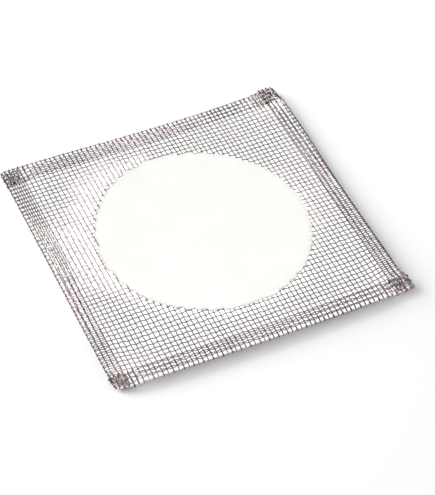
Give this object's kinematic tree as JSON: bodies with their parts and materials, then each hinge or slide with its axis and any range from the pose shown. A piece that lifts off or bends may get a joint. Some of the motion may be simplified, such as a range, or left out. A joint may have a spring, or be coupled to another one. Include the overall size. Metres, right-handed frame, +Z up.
{
  "type": "wire gauze",
  "caption": "Square woven steel wire gauze with folded hems and a round white ceramic centre, for holding glassware over a burner.",
  "frame": {"origin": "on the bench under the middle of the gauze, at the height of the four corners' undersides", "axes": "+Z up, out of the face that carries the vessel; +Y towards the sagging back edge, along the warps; +X to the right, along the wefts"},
  "size_m": [0.125, 0.125, 0.0041],
  "materials": {
    "steel_wire": "drawn steel wire, dull grey-brown with bright glints",
    "ceramic": "matt, unglazed, off-white"
  },
  "bodies": {
    "root": {"left_hem_warps": "steel_wire", "left_warps": "steel_wire", "disc_warps": "steel_wire", "right_warps": "steel_wire", "right_hem_warps": "steel_wire", "front_hem_wefts": "steel_wire", "front_wefts": "steel_wire", "disc_wefts": "steel_wire", "back_wefts": "steel_wire", "back_hem_wefts": "steel_wire", "ceramic_disc": "ceramic"}
  },
  "joints": []
}
